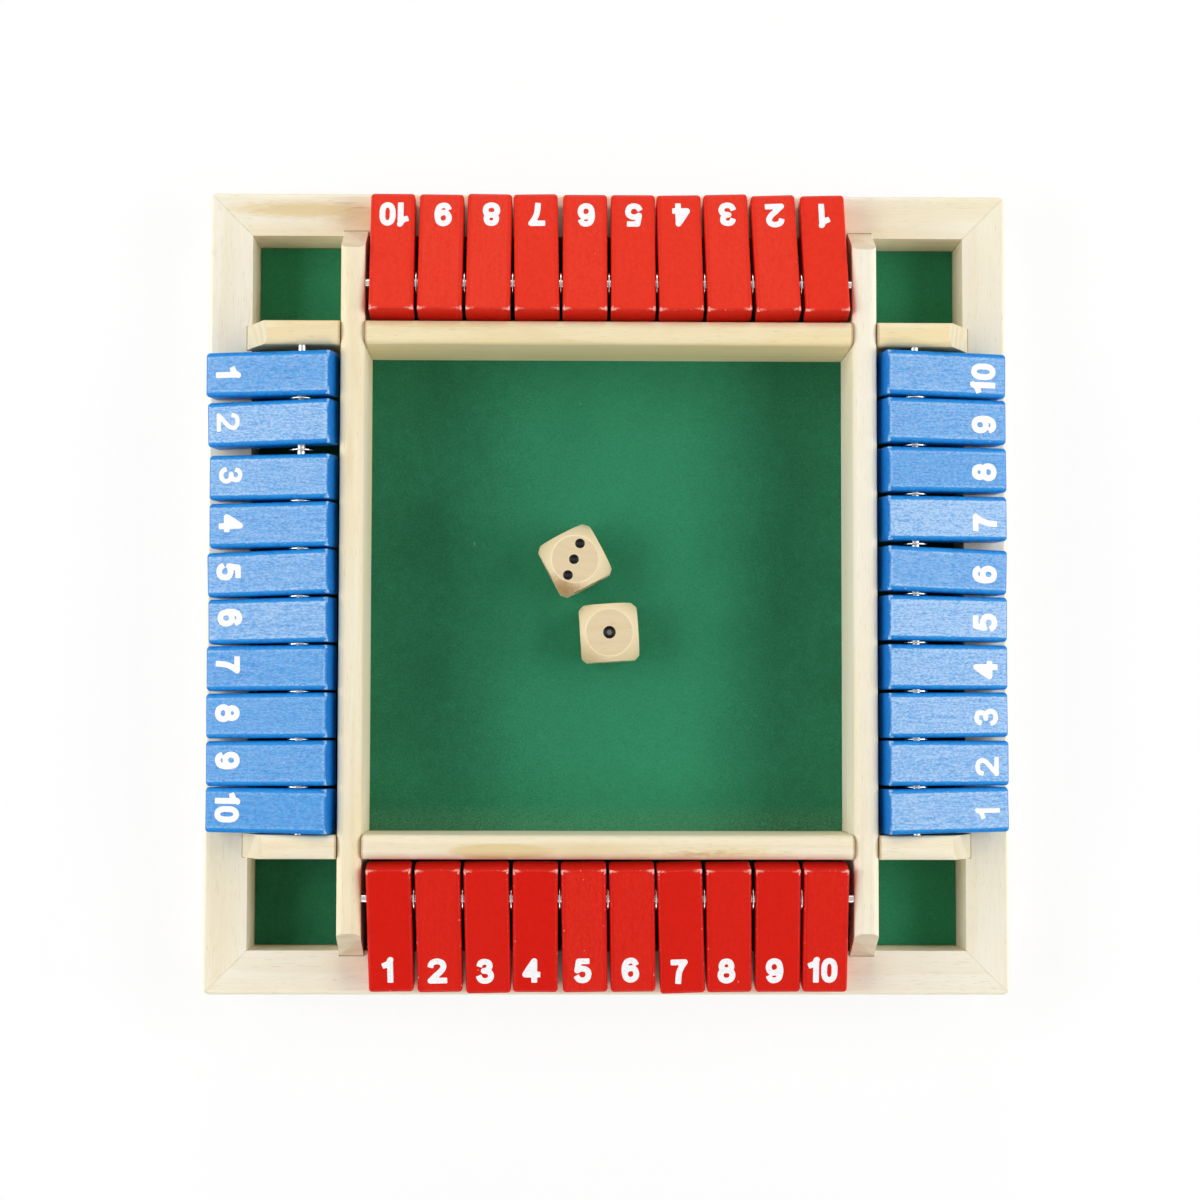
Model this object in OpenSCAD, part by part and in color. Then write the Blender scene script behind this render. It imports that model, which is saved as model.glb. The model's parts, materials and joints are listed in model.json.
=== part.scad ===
// Shut the box for four players: a square wooden tray with forty numbered flip tiles and two dice.
// Origin: centre of the underside. +X right, +Y towards the back row, +Z up. Millimetres.

/* [Frame] */
// Outside length of the frame along X
frame_l = 220; // [180:1:270]
// Outside width of the frame along Y
frame_w = 220; // [180:1:270]
// Width of each rail, seen from above
rail_w = 12; // [10:0.5:16]
// Height of each rail
rail_h = 20.5; // [17:0.5:26]
// Rounding of the rails' outer top edges
rail_round = 1.5; // [0.5:0.1:3]
// Rounding of the frame's four upright corners
corner_round = 2.5; // [1:0.1:5]
// Hairline between two rails at each mitre
mitre_gap = 0.06; // [0.02:0.01:0.2]

/* [Base] */
// Thickness of the base panel
panel_t = 3; // [2:0.1:5]
// How far the panel reaches under each rail
panel_lap = 6; // [4:0.1:8]
// Thickness of the felt sheet
felt_t = 0.5; // [0.3:0.1:1.5]
// Diameter of the brads that hold the panel
brad_d = 1.2; // [0.8:0.1:1.6]
// Length of the brads
brad_l = 10; // [7:0.5:14]
// Diameter of a brad's head
brad_head_d = 2.6; // [2:0.1:3.2]
// Thickness of a brad's head
brad_head_t = 0.5; // [0.3:0.1:1]
// Distance from a rail's middle to each of its two brads
brad_reach = 40; // [20:1:55]

/* [Dividers] */
// Width of each divider bar
divider_w = 6.5; // [5:0.1:9]
// Rounding of the dividers' top edges
divider_round = 2.4; // [1:0.1:2.5]
// Height of the dividers' top above the rods' centre
divider_rise = 3.8; // [3:0.1:8]
// Length of the slope cut on each divider end
bevel_run = 7; // [2:0.5:12]
// Depth of the slots in the rails that take the divider ends
dado_depth = 1.5; // [1:0.1:3]

/* [Tiles] */
// Length of a tile along its top
tile_l = 33.7; // [28:0.1:42]
// Thickness of a tile
tile_t = 8; // [6:0.1:10]
// Distance from a tile's inner end to its rod hole
hole_in = 8.9; // [7:0.1:12]
// How far a tile's inner end leans out towards its lower edge
end_rake = 0.6; // [0.1:0.05:0.8]
// Slope of a tile that lies on its rail, in degrees
tile_slope = 12; // [6:0.5:18]
// Rounding of a tile's edges
tile_round = 1; // [0.3:0.1:1.5]
// Gap between two tiles when evenly spread
tile_gap = 1; // [0.8:0.05:2]
// Gap between the last tile and the divider when evenly spread
end_gap = 1.2; // [0.8:0.05:3]
// Distance from a tile's outer top edge to the frame's outside
tile_inset = 1.7; // [0.5:0.1:4]

/* [Rods and washers] */
// Diameter of the rods
rod_d = 2.4; // [2:0.1:3]
// Outside diameter of the spacer washers
washer_d = 6.4; // [5:0.1:7]
// Thickness of the spacer washers
washer_t = 0.4; // [0.2:0.05:0.5]

/* [Dice] */
// Width of a die
die_w = 16; // [12:0.5:18]
// Rounding of a die's edges
die_round = 1.2; // [0.5:0.1:2]
// Diameter of the ring that the turned corners leave on each face
die_ring_d = 13.4; // [8:0.1:16]
// Diameter of a pip
pip_d = 2.7; // [1.5:0.1:3]
// Diameter of the single pip on the one
ace_d = 3.5; // [2:0.1:5]
// Depth of a pip
pip_depth = 0.5; // [0.3:0.1:1]
// Distance between neighbouring pips, along a face
pip_pitch = 3.3; // [2.5:0.1:4]

/* [Fits] */
// Room around the panel and the felt sheet inside the frame
panel_fit = 0.2; // [0.1:0.05:0.5]
// Room on each side of a divider in its slots and laps
lap_fit = 0.15; // [0.05:0.05:0.4]
// Radial room of the rods in the dividers
rod_fit = 0.05; // [0.02:0.01:0.1]
// Radial room of the rods in the tiles' loose holes
hole_fit = 0.3; // [0.2:0.02:0.5]
// Radial room of the rods in the washers
washer_fit = 0.15; // [0.1:0.05:0.4]
// Radial room around the brads
brad_fit = 0.05; // [0.02:0.01:0.1]
// Height of a resting tile above its rail
rest_fit = 0.2; // [0.1:0.05:0.5]
// Room between a divider and the inner ends of the turning tiles
swing_fit = 0.77; // [0.5:0.01:4]

/* [Hidden] */
$fn = 48;
over = 1;

tile_count = 10;
numbers = [1 : tile_count];
rows = ["back", "left", "front", "right"];

// How far each tile, from 1 to 10, has slid along its rod towards the 1
row_slide = [
    [0, -0.2, -0.3, -0.2, 0, 0, 0, 0, 0, 0],
    [-0.8, -1, -2.7, -2.5, -2.3, -2.1, -1.8, -1.5, -1.2, -0.9],
    [-0.4, -0.4, -0.3, -0.2, -0.1, 0.1, 0.3, 0.4, 0.3, 0.5],
    [0.7, 0.9, 1.1, 1.2, 1.1, 1, 0.3, 0.1, -0.1, 0.1],
];
// How askew each tile sits, as a share of the play in its hole, outer end towards the 1
row_skew = [
    [-0.6, -0.8, -0.6, -0.4, 0, 0, -0.4, 0.2, 0.2, 0],
    [0, -0.4, 0, -0.2, -0.6, -0.4, -0.2, -0.2, -0.2, 0.2],
    [-0.4, -0.4, -0.4, 0, -0.4, -0.4, -0.8, -0.4, -0.2, 0],
    [-0.4, 0, -0.2, 0, 0.2, 0.6, -0.2, -0.2, 0, 0.2],
];
// Largest share of a hole's play that a tile can take up
most_play = 0.9;
// How much longer than tile_l each tile is at its outer end, as they are cut by hand
row_reach = [
    [0.2, 0.2, 0.4, 0.1, 0.1, 0.1, 0.2, 0.2, 0, 0.1],
    [1.3, 0.7, 0.1, 0, 0.4, 0, 0.4, 0.4, 0.3, 0.3],
    [0.2, 0.3, 0.6, 0.3, 0.3, 0.2, 0.6, 0.3, 0.2, 0.2],
    [0.4, 0.5, 0.3, 0.3, 0.3, 0.3, 0.4, 0.4, 0.3, 0.3],
];

floor_z = panel_t + felt_t;
tile_out = tile_l - hole_in;
// Rod axis: the tile's lower outer edge then rests on the rail, its top edge short of the outside
rod_edge = tile_inset + tile_out * cos(tile_slope) + tile_t / 2 * sin(tile_slope);
rod_z = rail_h + rest_fit + tile_out * sin(tile_slope) + tile_t / 2 * cos(tile_slope);
swing_r = norm([hole_in, tile_t / 2]);
// Distance from the frame's outside to the dividers' inner faces
tray_edge = rod_edge + swing_r + swing_fit + divider_w;
tray_l = frame_l - 2 * tray_edge;
tray_w = frame_w - 2 * tray_edge;
divider_top = rod_z + divider_rise;
lap_z = (floor_z + divider_top) / 2;
rod_l = [tray_l + 2 * divider_w, tray_w + 2 * divider_w];

// Where the dice lie, how far each is turned, and the number that is up
die_places = [[-9, 8.9], [0.5, -11.2]];
die_turns = [27.8, 3.7];
die_tops = [3, 1];

wood = "BurlyWood";
steel = "Silver";
row_colours = ["OrangeRed", "DodgerBlue", "Red", "DodgerBlue"];
row_words = ["red", "blue", "red", "blue"];
die_names = ["die_three_up", "die_one_up"];

function across(row) = row % 2 == 0 ? frame_l : frame_w;
function depth(row) = row % 2 == 0 ? frame_w : frame_l;
function tray_across(row) = across(row) - 2 * tray_edge;
function tile_w(row) = (tray_across(row) - 2 * end_gap - (tile_count - 1) * tile_gap) / tile_count;
function tile_x(row, n) =
    ((tile_count + 1) / 2 - n) * (tile_w(row) + tile_gap) + row_slide[row][n - 1];
function tile_turn(row, n) = row_skew[row][n - 1] * atan(2 * most_play * hole_fit / tile_w(row));
function tile_name(row, n) = str(row_words[row], "_tile_", rows[row], "_", n);

// Rounded rectangle around the origin
module rounded_rect(l, w, r) {
    square([l - 2 * r, w], center = true);
    square([l, w - 2 * r], center = true);
    for (x = [-1, 1]) for (y = [-1, 1]) translate([x * (l / 2 - r), y * (w / 2 - r)]) circle(r);
}

// Block around the origin with all its edges rounded
module rounded_block(l, w, h, r) {
    intersection() {
        linear_extrude(h, center = true) rounded_rect(l, w, r);
        rotate([90, 0, 0]) linear_extrude(w, center = true) rounded_rect(l, h, r);
        rotate([90, 0, 90]) linear_extrude(l, center = true) rounded_rect(w, h, r);
    }
}

// Upright rectangle on the X axis with its two top corners rounded
module arched_rect(w, h, r) {
    translate([-w / 2, 0]) square([w, h - r]);
    translate([-w / 2 + r, 0]) square([w - 2 * r, h]);
    for (x = [-1, 1]) translate([x * (w / 2 - r), h - r]) circle(r);
}

// Each side is drawn as the back one and turned into place
module on_side(row) rotate(90 * row) children();

// Brads of one side, or the holes for them
module brads(row, room = 0) {
    for (x = [-1, 1]) translate([x * brad_reach, depth(row) / 2 - rail_w + panel_lap / 2, 0]) {
        cylinder(d = brad_d + 2 * room, h = brad_l + room);
        translate([0, 0, -over * sign(room)])
            cylinder(d = brad_head_d + 2 * room, h = brad_head_t + room + over * sign(room));
    }
}

module rail(row) {
    l = across(row);
    reach = depth(row) / 2;
    inner_y = reach - rail_w;
    half = l / 2 - mitre_gap / 2;
    slot_x = tray_across(row) / 2 + divider_w / 2;
    color(wood) difference() {
        intersection() {
            linear_extrude(rail_h) intersection() {
                rounded_rect(l, 2 * reach, corner_round);
                polygon([[-half, reach], [half, reach],
                         [half - rail_w, inner_y], [rail_w - half, inner_y]]);
            }
            rotate([90, 0, 90]) linear_extrude(l, center = true)
                arched_rect(2 * reach, rail_h, rail_round);
            rotate([90, 0, 0]) linear_extrude(4 * reach, center = true)
                arched_rect(l, rail_h, rail_round);
        }
        translate([-l, inner_y - over, -over]) cube([2 * l, panel_lap + over, panel_t + over]);
        for (x = [-slot_x, slot_x])
            translate([x - divider_w / 2 - lap_fit, inner_y - over, panel_t])
                cube([divider_w + 2 * lap_fit, dado_depth + over, rail_h]);
        brads(row, brad_fit);
    }
}

module base_panel() {
    l = frame_l - 2 * (rail_w - panel_lap + panel_fit);
    w = frame_w - 2 * (rail_w - panel_lap + panel_fit);
    color("Wheat") difference() {
        translate([-l / 2, -w / 2, 0]) cube([l, w, panel_t]);
        for (row = [0 : 3]) on_side(row) brads(row, brad_fit);
    }
}

module panel_brads() {
    color(steel) for (row = [0 : 3]) on_side(row) brads(row);
}

module felt_sheet() {
    l = frame_l - 2 * (rail_w + panel_fit);
    w = frame_w - 2 * (rail_w + panel_fit);
    color("SeaGreen") translate([-l / 2, -w / 2, panel_t]) cube([l, w, felt_t]);
}

// The left and right bars run through on top; the back and front bars are notched to let them pass
module divider(row) {
    l = across(row) - 2 * (rail_w - dado_depth + lap_fit);
    middle_y = depth(row) / 2 - tray_edge + divider_w / 2;
    notched_above = row % 2 == 0;
    notch_x = tray_across(row) / 2 + divider_w / 2;
    notch_z = notched_above ? lap_z : floor_z - over;
    notch_top = notched_above ? divider_top + over : lap_z;
    color(wood) translate([0, middle_y, 0]) difference() {
        intersection() {
            rotate([90, 0, 0]) linear_extrude(2 * divider_w, center = true)
                polygon([[-l / 2, floor_z], [l / 2, floor_z], [l / 2, rail_h],
                         [l / 2 - bevel_run, divider_top], [bevel_run - l / 2, divider_top],
                         [-l / 2, rail_h]]);
            rotate([90, 0, 90]) linear_extrude(l + 2 * over, center = true)
                arched_rect(divider_w, divider_top, divider_round);
        }
        for (x = [-notch_x, notch_x]) {
            translate([x - divider_w / 2 - lap_fit, -divider_w, notch_z])
                cube([divider_w + 2 * lap_fit, 2 * divider_w, notch_top - notch_z]);
            translate([sign(x) * (across(row) / 2 - rod_edge), 0, rod_z]) rotate([90, 0, 0])
                cylinder(r = rod_d / 2 + rod_fit, h = 2 * divider_w, center = true);
        }
    }
}

module rod(row) {
    color(steel) translate([0, depth(row) / 2 - rod_edge, rod_z]) rotate([0, 90, 0])
        cylinder(d = rod_d, h = rod_l[row % 2], center = true);
}

module washer() {
    rotate([0, 90, 0]) difference() {
        cylinder(d = washer_d, h = washer_t, center = true);
        cylinder(r = rod_d / 2 + washer_fit, h = washer_t + 2 * over, center = true);
    }
}

// One washer in the middle of each gap between two tiles
module washers() {
    color(steel) for (row = [0 : 3]) for (n = [1 : tile_count - 1])
        on_side(row)
            translate([(tile_x(row, n) + tile_x(row, n + 1)) / 2, depth(row) / 2 - rod_edge, rod_z])
                washer();
}

module tile(row, n) {
    w = tile_w(row);
    l = end_rake + tile_l + row_reach[row][n - 1];
    color(row_colours[row]) translate([tile_x(row, n), depth(row) / 2 - rod_edge, rod_z])
        rotate([-tile_slope, 0, 0]) rotate(-tile_turn(row, n)) difference() {
            translate([0, l / 2 - hole_in - end_rake, 0]) rounded_block(w, l, tile_t, tile_round);
            // the inner end is sawn off at a lean, which leaves its edges crisp
            translate([0, -hole_in - end_rake / 2, 0]) rotate([-atan(end_rake / tile_t), 0, 0])
                translate([-w, -tile_t, -tile_t]) cube([2 * w, tile_t, 2 * tile_t]);
            rotate([0, 90, 0]) cylinder(r = rod_d / 2 + hole_fit, h = 2 * w, center = true);
        }
}

// Places of the pips of a number, in steps along the face
function pips(n) = concat(
    n % 2 == 1 ? [[0, 0]] : [],
    n > 1 ? [[1, 1], [-1, -1]] : [],
    n > 3 ? [[1, -1], [-1, 1]] : [],
    n == 6 ? [[1, 0], [-1, 0]] : []
);

// Scoops of one face, cut by a ball from above
module face_pips(n) {
    d = n == 1 ? ace_d : pip_d;
    ball_r = (d * d / 4 + pip_depth * pip_depth) / (2 * pip_depth);
    for (p = pips(n))
        translate([p[0] * pip_pitch, p[1] * pip_pitch, die_w / 2 - pip_depth + ball_r]) sphere(ball_r);
}

// Opposite faces add up to seven; the six faces are cut for a die with its one up
module die_block() {
    difference() {
        intersection() {
            rounded_block(die_w, die_w, die_w, die_round);
            sphere(norm([die_w, die_ring_d]) / 2, $fn = 96);
        }
        face_pips(1);
        rotate([180, 0, 0]) face_pips(6);
        rotate([90, 0, 0]) face_pips(2);
        rotate([-90, 0, 0]) face_pips(5);
        rotate([0, 90, 0]) face_pips(3);
        rotate([0, -90, 0]) face_pips(4);
    }
}

module die(i) {
    color("NavajoWhite") translate([die_places[i][0], die_places[i][1], floor_z + die_w / 2])
        rotate(die_turns[i]) rotate([0, die_tops[i] == 3 ? -90 : 0, 0]) die_block();
}

for (row = [0 : 3]) on_side(row) {
    rail(row);
    divider(row);
    rod(row);
    for (n = numbers) tile(row, n);
}
base_panel();
panel_brads();
felt_sheet();
washers();
for (i = [0, 1]) die(i);
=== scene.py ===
# Four-player shut the box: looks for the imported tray, its forty tiles, two dice and felt
import json
import math

import bmesh
import bpy
import numpy as np
from mathutils import Matrix, Vector, noise


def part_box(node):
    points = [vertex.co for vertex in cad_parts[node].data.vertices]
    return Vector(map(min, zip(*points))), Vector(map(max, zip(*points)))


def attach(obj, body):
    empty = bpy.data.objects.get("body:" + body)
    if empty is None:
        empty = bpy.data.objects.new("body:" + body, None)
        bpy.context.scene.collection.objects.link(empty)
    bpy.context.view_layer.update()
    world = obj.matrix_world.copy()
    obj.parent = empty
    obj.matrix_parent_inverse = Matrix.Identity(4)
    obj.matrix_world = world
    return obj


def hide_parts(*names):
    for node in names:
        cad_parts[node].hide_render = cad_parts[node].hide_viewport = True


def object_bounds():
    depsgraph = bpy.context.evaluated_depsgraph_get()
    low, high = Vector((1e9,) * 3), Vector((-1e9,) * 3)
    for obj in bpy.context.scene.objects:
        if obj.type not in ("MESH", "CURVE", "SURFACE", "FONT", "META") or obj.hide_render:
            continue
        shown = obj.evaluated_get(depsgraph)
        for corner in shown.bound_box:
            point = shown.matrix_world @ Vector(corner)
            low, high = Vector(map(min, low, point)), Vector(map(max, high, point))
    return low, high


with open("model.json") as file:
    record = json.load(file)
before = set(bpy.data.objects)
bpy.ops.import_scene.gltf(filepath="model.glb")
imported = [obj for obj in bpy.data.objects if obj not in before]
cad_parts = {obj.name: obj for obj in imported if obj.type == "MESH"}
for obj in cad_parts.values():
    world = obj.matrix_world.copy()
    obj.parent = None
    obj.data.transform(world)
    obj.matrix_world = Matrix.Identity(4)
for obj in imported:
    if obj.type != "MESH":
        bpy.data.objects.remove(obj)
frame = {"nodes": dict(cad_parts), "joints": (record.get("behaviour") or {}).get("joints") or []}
cadLow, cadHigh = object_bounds()
nodes = frame["nodes"]
hinges = {joint["child"]: joint for joint in frame["joints"]}
mm = 0.001
print("frame loaded:", len(nodes), "nodes")


# ---- small helpers for node trees

def tone(red, green, blue):  # a colour as it shows on screen, 0 to 255
    def linear(c):
        c /= 255
        return c / 12.92 if c <= 0.04045 else ((c + 0.055) / 1.055) ** 2.4
    return (linear(red), linear(green), linear(blue), 1)


def plug(tree, socket, value):  # a link from another node, or a plain value
    if isinstance(value, bpy.types.NodeSocket):
        tree.links.new(value, socket)
    else:
        socket.default_value = value


def put(tree, kind, sockets=None, **settings):
    node = tree.nodes.new("ShaderNode" + kind)
    for name, value in settings.items():
        setattr(node, name, value)
    for name, value in (sockets or {}).items():
        plug(tree, node.inputs[name], value)
    return node


def sums(tree, what, *values):
    return put(tree, "Math", dict(enumerate(values)), operation=what).outputs[0]


def times(tree, first, second):
    return sums(tree, "MULTIPLY", first, second)


def vectors(tree, what, *values):
    node = put(tree, "VectorMath", dict(enumerate(values)), operation=what)
    return node.outputs["Value" if what == "LENGTH" else "Vector"]


def stretched(tree, vector, factors):
    return vectors(tree, "MULTIPLY", vector, factors)


def scaled(tree, vector, factor):
    return put(tree, "VectorMath", {0: vector, "Scale": factor}, operation="SCALE").outputs["Vector"]


def rise(tree, value, low, high):  # 0 below low, 1 above high, smooth between
    sockets = {"Value": value, "From Min": low, "From Max": high}
    return put(tree, "MapRange", sockets, interpolation_type="SMOOTHSTEP").outputs["Result"]


def spread(tree, value, low, high):  # 0 to 1 becomes low to high
    return put(tree, "MapRange", {"Value": value, "To Min": low, "To Max": high}).outputs["Result"]


def mixed(tree, amount, first, second):
    return put(tree, "Mix", {0: amount, 6: first, 7: second}, data_type="RGBA").outputs[2]


def laid(tree, colour, over, mask, strength):  # lays one colour over another where the mask says
    return mixed(tree, times(tree, mask, strength), colour, over)


def cloud(tree, vector, size, detail=2.0, rough=0.5, colour=False):
    sockets = {"Vector": vector, "Scale": size, "Detail": detail, "Roughness": rough}
    return put(tree, "TexNoise", sockets).outputs["Color" if colour else "Fac"]


def parts(tree, vector):
    return put(tree, "SeparateXYZ", {0: vector}).outputs


def joined(tree, x, y, z):
    return put(tree, "CombineXYZ", {0: x, 1: y, 2: z}).outputs[0]


def newGroup(name, inputs, outputs):  # inputs with their defaults; a tuple makes a vector socket
    group = bpy.data.node_groups.new(name, "ShaderNodeTree")
    for label, value in inputs.items():
        kind = "NodeSocketVector" if isinstance(value, tuple) else "NodeSocketFloat"
        group.interface.new_socket(label, in_out="INPUT", socket_type=kind).default_value = value
    for label in outputs:
        group.interface.new_socket(label, in_out="OUTPUT", socket_type="NodeSocketFloat")
    return group, group.nodes.new("NodeGroupInput").outputs, group.nodes.new("NodeGroupOutput").inputs


def use(tree, group, sockets):
    return put(tree, "Group", sockets, node_tree=group).outputs


def newMaterial(name, **constants):  # constants go straight onto the shader's own sockets
    material = bpy.data.materials.new(name)
    material.use_nodes = True
    shader = material.node_tree.nodes["Principled BSDF"]
    for label, value in constants.items():
        shader.inputs[label.replace("_", " ")].default_value = value
    return material, material.node_tree, shader


def placeInMm(tree):
    return scaled(tree, put(tree, "TexCoord").outputs["Object"], 1 / mm)


def coat(tree, shader, colour, roughness):
    tree.links.new(colour, shader.inputs["Base Color"])
    tree.links.new(roughness, shader.inputs["Roughness"])


def bump(tree, shader, height, strength, depth):
    sockets = {"Height": height, "Strength": strength, "Distance": depth * mm}
    tree.links.new(put(tree, "Bump", sockets).outputs[0], shader.inputs["Normal"])


# ---- effects that several materials share

def seededPlace(group, given, *reach):  # each seed looks at another part of the noise
    return vectors(group, "ADD", given["Place"], scaled(group, joined(group, *reach), given["Seed"]))


def makeWoodGrain():  # rings round a far pith, fibres and short pores; X runs along the grain, in mm
    inputs = {"Place": (0, 0, 0), "Seed": 0, "Pith": (0, 0, -40), "Ring": 3, "Wander": 4}
    group, given, out = newGroup("woodGrain", inputs, ["Late", "Fibre", "Pores", "Blotch"])
    seeded = seededPlace(group, given, 17.3, 5.9, 11.7)
    slow = cloud(group, stretched(group, seeded, (0.011, 0.045, 0.045)), 1.0, 1.5, colour=True)
    lean = vectors(group, "SUBTRACT", slow, (0.5, 0.5, 0.5))
    bent = vectors(group, "ADD", vectors(group, "SUBTRACT", given["Place"], given["Pith"]),
                   scaled(group, lean, given["Wander"]))
    radius = vectors(group, "LENGTH", stretched(group, bent, (0, 1, 1)))
    fine = cloud(group, stretched(group, seeded, (0.05, 0.5, 0.5)), 1.0, 2.0)
    uneven = spread(group, fine, -0.14, 0.14)
    turns = sums(group, "ADD", sums(group, "DIVIDE", radius, given["Ring"]), uneven)
    # each ring darkens slowly and ends sharply, and some years are stronger than others
    saw = sums(group, "FRACT", turns)
    ends = sums(group, "SUBTRACT", 1, rise(group, saw, 0.88, 1.0))
    band = times(group, rise(group, saw, 0.25, 0.86), ends)
    year = put(group, "TexWhiteNoise", {"W": sums(group, "FLOOR", turns)}, noise_dimensions="1D")
    group.links.new(times(group, band, spread(group, year.outputs["Value"], 0.35, 1)), out["Late"])
    group.links.new(cloud(group, stretched(group, seeded, (0.10, 3.6, 3.6)), 1.0, 3.0, 0.6), out["Fibre"])
    dashes = cloud(group, stretched(group, seeded, (0.32, 4.6, 4.6)), 1.0, 0.0)
    group.links.new(rise(group, dashes, 0.70, 0.80), out["Pores"])
    patches = cloud(group, stretched(group, seeded, (0.013, 0.09, 0.09)), 1.0, 1.0)
    group.links.new(rise(group, patches, 0.40, 0.66), out["Blotch"])
    return group


def makePlacedMark():  # a soft or ragged oval at one place
    inputs = {"Place": (0, 0, 0), "Centre": (0, 0, 0), "Size": (1, 1, 1), "Ragged": 0.1, "Soft": 0.2}
    group, given, out = newGroup("placedMark", inputs, ["Mask"])
    away = vectors(group, "SUBTRACT", given["Place"], given["Centre"])
    across = vectors(group, "LENGTH", vectors(group, "DIVIDE", away, given["Size"]))
    rough = cloud(group, stretched(group, given["Place"], (0.35, 1.4, 1.4)), 1.0, 2.0)
    reach = sums(group, "ADD", across, times(group, sums(group, "SUBTRACT", rough, 0.5), given["Ragged"]))
    edge = sums(group, "DIVIDE", sums(group, "SUBTRACT", 1, reach), given["Soft"])
    group.links.new(rise(group, edge, 0.0, 1.0), out["Mask"])
    return group


def makePaintSkin():  # brush and grain lines that show through paint, along Y
    group, given, out = newGroup("paintSkin", {"Place": (0, 0, 0), "Seed": 0}, ["Streak", "Mottle", "Skin"])
    seeded = seededPlace(group, given, 31.0, 53.0, 17.0)
    slow = cloud(group, stretched(group, seeded, (0.25, 0.12, 0.25)), 1.0, 1.0, colour=True)
    swirl = vectors(group, "SUBTRACT", slow, (0.5, 0.5, 0.5))
    bent = vectors(group, "ADD", seeded, scaled(group, swirl, 2.2))
    streaks = cloud(group, stretched(group, bent, (2.2, 0.1, 2.2)), 1.0, 3.0, 0.68)
    group.links.new(rise(group, streaks, 0.32, 0.68), out["Streak"])
    group.links.new(cloud(group, seeded, 0.8, 3.0, 0.6), out["Mottle"])
    grain = stretched(group, seeded, (2.6, 1.1, 2.6))
    group.links.new(cloud(group, grain, 1.0, 3.0, 0.65), out["Skin"])
    return group


def makeEdgeWear():  # broken flecks where Edge nears 1
    inputs = {"Edge": 0, "Place": (0, 0, 0), "Seed": 0, "Amount": 0.5}
    group, given, out = newGroup("edgeWear", inputs, ["Mask"])
    flecks = cloud(group, seededPlace(group, given, 7.0, 23.0, 41.0), 1.5, 3.0, 0.65)
    limit = spread(group, given["Amount"], 0.78, 0.44)
    worn = sums(group, "DIVIDE", sums(group, "SUBTRACT", flecks, limit), 0.05)
    nearEdge = rise(group, given["Edge"], 0.35, 0.8)
    group.links.new(times(group, rise(group, worn, 0.0, 1.0), nearEdge), out["Mask"])
    return group


def makeDust():  # sparse round specks; Share of the cells hold one
    inputs = {"Place": (0, 0, 0), "Seed": 0, "Cell": 3, "Share": 0.1, "Grain": 0.08}
    group, given, out = newGroup("dust", inputs, ["Mask"])
    cell = joined(group, given["Cell"], given["Cell"], given["Cell"])
    spot = vectors(group, "DIVIDE", seededPlace(group, given, 13.0, 29.0, 3.0), cell)
    cells = put(group, "TexVoronoi", {"Vector": spot, "Scale": 1.0})
    pick = put(group, "SeparateColor", {0: cells.outputs["Color"]}).outputs
    reach = times(group, given["Grain"], spread(group, pick[1], 0.4, 1))
    near = sums(group, "LESS_THAN", cells.outputs["Distance"], reach)
    held = sums(group, "LESS_THAN", pick[0], given["Share"])
    group.links.new(times(group, near, held), out["Mask"])
    return group


woodGrain, placedMark, paintSkin = makeWoodGrain(), makePlacedMark(), makePaintSkin()
edgeWear, dust = makeEdgeWear(), makeDust()


def marked(tree, colour, place, marks, tones):  # centre and half sizes in mm, tone, strength, ragged, soft
    for centre, size, name, strength, ragged, soft in marks:
        mark = {"Place": place, "Centre": centre, "Size": size, "Ragged": ragged, "Soft": soft}
        colour = laid(tree, colour, tones[name], use(tree, placedMark, mark)["Mask"], strength)
    return colour


# ---- mesh helpers

cornerTurns = 4  # grid lines in each rounded edge


def easedLines(low, high, easeLow, easeHigh, step):  # grid lines, closer where the ends are rounded
    bend = [1 - math.tan(math.pi / 4 * k / cornerTurns) for k in range(cornerTurns, 0, -1)]
    start, stop = low + easeLow, high - easeHigh
    count = max(1, round((stop - start) / step))
    middle = [start + (stop - start) * k / count for k in range(count + 1)]
    return [low + easeLow * b for b in bend] + middle + [high - easeHigh * b for b in reversed(bend)]


def gridBox(xs, ys, zs):
    bm = bmesh.new()
    made = {}

    def corner(key):
        if key not in made:
            made[key] = bm.verts.new((xs[key[0]], ys[key[1]], zs[key[2]]))
        return made[key]

    last = [len(xs) - 1, len(ys) - 1, len(zs) - 1]
    for side in range(3):
        a, b = [n for n in range(3) if n != side]
        for end in (0, last[side]):
            for i in range(last[a]):
                for j in range(last[b]):
                    quad = []
                    for k, l in ((i, j), (i + 1, j), (i + 1, j + 1), (i, j + 1)):
                        key = [0, 0, 0]
                        key[side], key[a], key[b] = end, k, l
                        quad.append(corner(tuple(key)))
                    bm.faces.new(quad)
    bmesh.ops.recalc_face_normals(bm, faces=bm.faces)
    return bm


def roundOff(bm, low, high, easeLow, easeHigh):  # rounds a grid box and notes how near its edges a point is
    edge = bm.verts.layers.float.new("edge")
    for vert in bm.verts:
        core = Vector(min(max(vert.co[n], low[n] + easeLow[n]), high[n] - easeHigh[n]) for n in range(3))
        ease = [easeLow[n] if vert.co[n] < core[n] else easeHigh[n] for n in range(3)]
        lean = Vector((vert.co[n] - core[n]) / ease[n] for n in range(3))
        if lean.length > 0:
            lean.normalize()
            vert.co = core + Vector(lean[n] * ease[n] for n in range(3))
        vert[edge] = math.sqrt(max(0, 1 - max(abs(c) for c in lean) ** 2)) / math.sqrt(0.5)


def newObject(name, data):
    thing = bpy.data.objects.new(name, data)
    bpy.context.scene.collection.objects.link(thing)
    return thing


def meshOf(name, bm):
    mesh = bpy.data.meshes.new(name)
    bm.to_mesh(mesh)
    bm.free()
    return mesh


def newPiece(name, bm):
    return newObject(name, meshOf(name, bm))


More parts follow.
